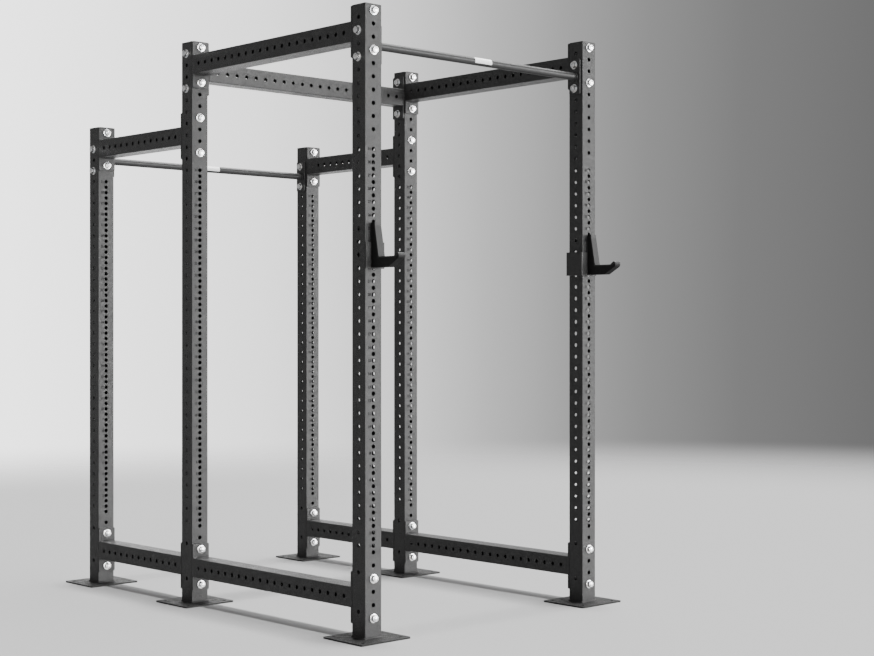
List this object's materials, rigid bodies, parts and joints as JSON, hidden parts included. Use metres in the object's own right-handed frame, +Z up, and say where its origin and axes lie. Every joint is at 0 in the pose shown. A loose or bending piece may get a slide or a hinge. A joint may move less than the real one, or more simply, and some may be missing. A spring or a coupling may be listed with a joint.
{
  "type": "power cage",
  "caption": "Steel power cage of perforated square posts on foot plates, bolted side beams, a top crossmember, pull-up bars, and lift-off J-cups on the front posts.",
  "frame": {"origin": "middle of the floor area: centre of the object's box in X and Y, underside of the foot plates in Z", "axes": "+X to the right seen from the front, +Y from the front posts to the rear posts, +Z up"},
  "size_m": [1.42, 2.288, 2.406],
  "materials": {
    "frame_coat": "fine-texture matt black powder coat",
    "bar_coat": "fine-texture matt black powder coat, a little worn",
    "cup_coat": "matt black powder coat",
    "zinc": "bright zinc plate",
    "pin_steel": "zinc plate",
    "liner_plastic": "cut polyethylene sheet",
    "cap_plastic": "moulded, satin"
  },
  "bodies": {
    "rack": {"beam_bottom_front_left": "frame_coat", "beam_bottom_front_right": "frame_coat", "beam_bottom_rear_left": "frame_coat", "beam_bottom_rear_right": "frame_coat", "beam_top_front_left": "frame_coat", "beam_top_front_right": "frame_coat", "beam_top_rear_left": "frame_coat", "beam_top_rear_right": "frame_coat", "bolts_left": "zinc", "bolts_right": "zinc", "crossmember": "frame_coat", "end_plates_bar_front": "frame_coat", "end_plates_bar_rear": "frame_coat", "end_plates_bottom_front_left": "frame_coat", "end_plates_bottom_front_right": "frame_coat", "end_plates_bottom_rear_left": "frame_coat", "end_plates_bottom_rear_right": "frame_coat", "end_plates_crossmember": "frame_coat", "end_plates_top_front_left": "frame_coat", "end_plates_top_front_right": "frame_coat", "end_plates_top_rear_left": "frame_coat", "end_plates_top_rear_right": "frame_coat", "foot_plate_front_left": "frame_coat", "foot_plate_front_right": "frame_coat", "foot_plate_middle_left": "frame_coat", "foot_plate_middle_right": "frame_coat", "foot_plate_rear_left": "frame_coat", "foot_plate_rear_right": "frame_coat", "nuts_left": "zinc", "nuts_right": "zinc", "post_cap_front_left": "cap_plastic", "post_cap_front_right": "cap_plastic", "post_cap_middle_left": "cap_plastic", "post_cap_middle_right": "cap_plastic", "post_cap_rear_left": "cap_plastic", "post_cap_rear_right": "cap_plastic", "post_front_left": "frame_coat", "post_front_right": "frame_coat", "post_middle_left": "frame_coat", "post_middle_right": "frame_coat", "post_rear_left": "frame_coat", "post_rear_right": "frame_coat", "pull_up_bar_front": "bar_coat", "pull_up_bar_rear": "bar_coat", "washers_left": "zinc", "washers_right": "zinc"},
    "j_cup_left": {"j_cup_left_bracket": "frame_coat", "j_cup_left_cradle_liner": "liner_plastic", "j_cup_left_hook": "cup_coat", "j_cup_left_pins": "pin_steel", "j_cup_left_wing_liner": "liner_plastic"},
    "j_cup_right": {"j_cup_right_bracket": "frame_coat", "j_cup_right_cradle_liner": "liner_plastic", "j_cup_right_hook": "cup_coat", "j_cup_right_pins": "pin_steel", "j_cup_right_wing_liner": "liner_plastic"}
  },
  "joints": [
    {"name": "j_cup_left_pull", "type": "slide", "parent": "rack", "child": "j_cup_left", "axis": [0, -1, 0], "range_m": [0, 0.11]},
    {"name": "j_cup_right_pull", "type": "slide", "parent": "rack", "child": "j_cup_right", "axis": [0, -1, 0], "range_m": [0, 0.11]}
  ]
}
